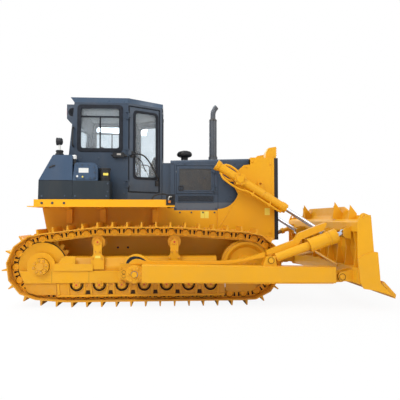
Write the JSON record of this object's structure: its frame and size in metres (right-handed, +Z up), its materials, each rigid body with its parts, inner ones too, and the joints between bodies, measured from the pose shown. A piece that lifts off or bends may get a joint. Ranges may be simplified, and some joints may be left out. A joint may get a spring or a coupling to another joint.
{
  "type": "crawler bulldozer",
  "caption": "Crawler bulldozer with two tracks, a closed six-sided cab, an engine hood and a straight blade on two outside push arms, lifted and tilted by cylinders.",
  "frame": {"origin": "on the ground under the middle of the overall length, on the machine's centre line", "axes": "+X forward to the blade, +Y to the machine's left, +Z up"},
  "size_m": [5.595, 3.724, 3.37],
  "materials": {
    "yellow_paint": "worn machine yellow paint",
    "slate_paint": "blue-grey paint",
    "black_paint": "black paint",
    "chrome_rod": "polished piston rod",
    "cast_engine": "rough casting",
    "cab_glazing": "tinted glass",
    "seat_cloth": "seat cloth",
    "orange_lens": "amber lens",
    "lamp_lens": "lamp glass",
    "worn_steel": "bare worn edge"
  },
  "bodies": {
    "hull": {"main_frame": "yellow_paint", "belly_guard": "yellow_paint", "engine_block": "cast_engine", "drawbar": "yellow_paint", "tow_bracket": "yellow_paint", "pivot_shafts": "yellow_paint", "equalizer_bar": "yellow_paint", "platform": "yellow_paint", "fenders": "yellow_paint", "fuel_tank": "slate_paint", "hydraulic_tank": "slate_paint", "battery_box": "slate_paint", "work_lamps": "lamp_lens", "cab_shell": "slate_paint", "cab_roof": "slate_paint", "roof_beacon": "orange_lens", "cab_glass": "cab_glazing", "operator_seat": "seat_cloth", "operator_controls": "black_paint", "rear_air_box": "slate_paint", "engine_hood": "slate_paint", "hood_sides": "slate_paint", "cowl": "slate_paint", "precleaner": "black_paint", "exhaust_stack": "black_paint", "radiator_guard": "yellow_paint", "front_grille": "black_paint", "radiator_core": "black_paint", "headlamp_guards": "yellow_paint", "track_left": "yellow_paint", "track_right": "yellow_paint", "sprockets": "yellow_paint", "final_drives": "yellow_paint", "idlers": "yellow_paint", "track_rollers": "yellow_paint", "carrier_rollers": "yellow_paint", "track_frames": "yellow_paint", "roller_guards": "yellow_paint", "trunnion_brackets": "yellow_paint"},
    "lift_carrier": {"trunnion_balls": "worn_steel"},
    "left_arm": {"push_arm_left": "yellow_paint"},
    "right_arm": {"push_arm_right": "yellow_paint", "arm_hose_guard": "yellow_paint"},
    "left_strut_body": {"left_strut": "yellow_paint"},
    "tilt_cylinder": {"tilt_barrel": "yellow_paint", "tilt_hose_guard": "yellow_paint"},
    "tilt_rod_body": {"tilt_rod": "chrome_rod"},
    "blade_body": {"blade": "yellow_paint", "cutting_edge": "worn_steel", "spill_guard": "yellow_paint"},
    "lift_cylinder_left": {"lift_barrel_left": "yellow_paint"},
    "lift_rod_body_left": {"lift_rod_left": "chrome_rod"},
    "lift_cylinder_right": {"lift_barrel_right": "yellow_paint"},
    "lift_rod_body_right": {"lift_rod_right": "chrome_rod"},
    "cab_door_body_left": {"cab_door_left": "slate_paint", "cab_door_glass_left": "cab_glazing"},
    "engine_door_body_left": {"engine_door_left": "slate_paint"},
    "cab_door_body_right": {"cab_door_right": "slate_paint", "cab_door_glass_right": "cab_glazing"},
    "engine_door_body_right": {"engine_door_right": "slate_paint"}
  },
  "joints": [
    {"name": "blade_lift", "type": "hinge", "parent": "hull", "child": "lift_carrier", "pos_m": [-0.861, 0, 0.51], "axis": [0, -1, 0], "range_deg": [-9, 13.5]},
    {"name": "blade_tilt", "type": "hinge", "parent": "lift_carrier", "child": "blade_body", "pos_m": [2.113, 0, 0.455], "axis": [0.8877, -0.4601, -0.0167], "range_deg": [-6, 6]},
    {"name": "left_arm_swing", "type": "hinge", "parent": "lift_carrier", "child": "left_arm", "pos_m": [-0.861, 1.542, 0.51], "axis": [0, -1, 0], "range_deg": [-2.82, 2.82]},
    {"name": "right_arm_swing", "type": "hinge", "parent": "lift_carrier", "child": "right_arm", "pos_m": [-0.861, -1.542, 0.51], "axis": [0, -1, 0], "range_deg": [-2.81, 2.81]},
    {"name": "left_strut_swing", "type": "hinge", "parent": "left_arm", "child": "left_strut_body", "pos_m": [1.083, 1.542, 0.694], "axis": [0.3333, 0.0001, -0.9428], "range_deg": [-2.92, 2.92]},
    {"name": "tilt_cylinder_swing", "type": "hinge", "parent": "right_arm", "child": "tilt_cylinder", "pos_m": [1.083, -1.542, 0.694], "axis": [0.302, -0.4229, -0.8544], "range_deg": [-3.22, 3.22]},
    {"name": "tilt_rod_slide", "type": "slide", "parent": "tilt_cylinder", "child": "tilt_rod_body", "axis": [0.9428, 0, 0.3333], "range_m": [-0.05585, 0.05585]},
    {"name": "lift_cylinder_left_swing", "type": "hinge", "parent": "hull", "child": "lift_cylinder_left", "pos_m": [0.763, 0.79, 1.925], "axis": [0, -1, 0], "range_deg": [-13.4, 20.1]},
    {"name": "lift_rod_left_slide", "type": "slide", "parent": "lift_cylinder_left", "child": "lift_rod_body_left", "axis": [0.8464, 0, -0.5325], "range_m": [-0.48884, 0.32589]},
    {"name": "lift_cylinder_right_swing", "type": "hinge", "parent": "hull", "child": "lift_cylinder_right", "pos_m": [0.763, -0.79, 1.925], "axis": [0, -1, 0], "range_deg": [-13.4, 20.1]},
    {"name": "lift_rod_right_slide", "type": "slide", "parent": "lift_cylinder_right", "child": "lift_rod_body_right", "axis": [0.8464, 0, -0.5325], "range_m": [-0.48884, 0.32589]},
    {"name": "cab_door_left_swing", "type": "hinge", "parent": "hull", "child": "cab_door_body_left", "pos_m": [-1.03162, 0.79926, 2.4], "axis": [0, 0, 1], "range_deg": [0, 115]},
    {"name": "engine_door_left_swing", "type": "hinge", "parent": "hull", "child": "engine_door_body_left", "pos_m": [0.377, 0.514, 1.95], "axis": [0, 0, -1], "range_deg": [0, 50]},
    {"name": "cab_door_right_swing", "type": "hinge", "parent": "hull", "child": "cab_door_body_right", "pos_m": [-1.03162, -0.79926, 2.4], "axis": [0, 0, -1], "range_deg": [0, 115]},
    {"name": "engine_door_right_swing", "type": "hinge", "parent": "hull", "child": "engine_door_body_right", "pos_m": [0.377, -0.514, 1.95], "axis": [0, 0, 1], "range_deg": [0, 50]}
  ],
  "couplings": [
    {"joint": "left_arm_swing", "follows": "blade_tilt", "ratio": 0.4601},
    {"joint": "right_arm_swing", "follows": "blade_tilt", "ratio": -0.45983},
    {"joint": "left_strut_swing", "follows": "blade_tilt", "ratio": 0.47711},
    {"joint": "tilt_cylinder_swing", "follows": "blade_tilt", "ratio": 0.52649},
    {"joint": "tilt_rod_slide", "follows": "blade_tilt", "m_per_rad": -0.52288},
    {"joint": "lift_cylinder_left_swing", "follows": "blade_lift", "ratio": 1.46},
    {"joint": "lift_rod_left_slide", "follows": "blade_lift", "m_per_rad": -2.034},
    {"joint": "lift_cylinder_right_swing", "follows": "blade_lift", "ratio": 1.46},
    {"joint": "lift_rod_right_slide", "follows": "blade_lift", "m_per_rad": -2.034}
  ]
}
